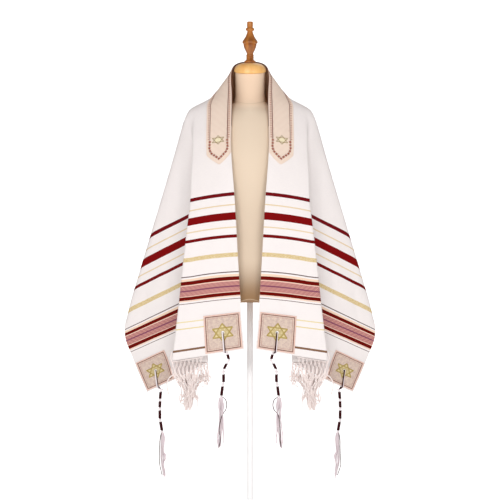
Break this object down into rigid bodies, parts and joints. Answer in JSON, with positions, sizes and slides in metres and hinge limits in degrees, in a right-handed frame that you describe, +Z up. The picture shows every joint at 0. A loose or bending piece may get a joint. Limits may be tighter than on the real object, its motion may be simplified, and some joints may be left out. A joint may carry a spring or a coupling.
{
  "type": "tallit prayer shawl on a dress form",
  "caption": "Striped prayer shawl with neckband, corner squares, fringe and corner tassels, draped open over a limbless dress form on a pole and round base.",
  "frame": {"origin": "centre of the base's flat underside, on the floor", "axes": "+Z up, -Y to the front where the shawl hangs open, +X to the right of a viewer who faces the front"},
  "size_m": [0.7294, 0.3084, 1.5903],
  "materials": {
    "shawl_cloth": "plain weave, matt, with coloured stripes near both ends",
    "neckband_cloth": "satin weave, embroidered border",
    "square_cloth": "satin weave, embroidered border and star",
    "fringe_thread": "twisted thread",
    "tassel_cord": "twisted white cord with dark red windings",
    "form_cover": "close-fitting plain weave",
    "light_wood": "satin varnish",
    "turned_wood": "satin varnish",
    "white_lacquer": "white lacquer"
  },
  "bodies": {
    "root": {"shawl": "shawl_cloth", "neckband": "neckband_cloth", "corner_square_inner_left": "square_cloth", "corner_square_inner_right": "square_cloth", "corner_square_outer_left": "square_cloth", "corner_square_outer_right": "square_cloth", "fringe_left": "fringe_thread", "fringe_right": "fringe_thread", "tassel_inner_left": "tassel_cord", "tassel_inner_right": "tassel_cord", "tassel_outer_left": "tassel_cord", "tassel_outer_right": "tassel_cord", "form_torso": "form_cover", "neck_cap": "light_wood", "finial": "turned_wood", "pole": "white_lacquer", "base": "white_lacquer"}
  },
  "joints": []
}
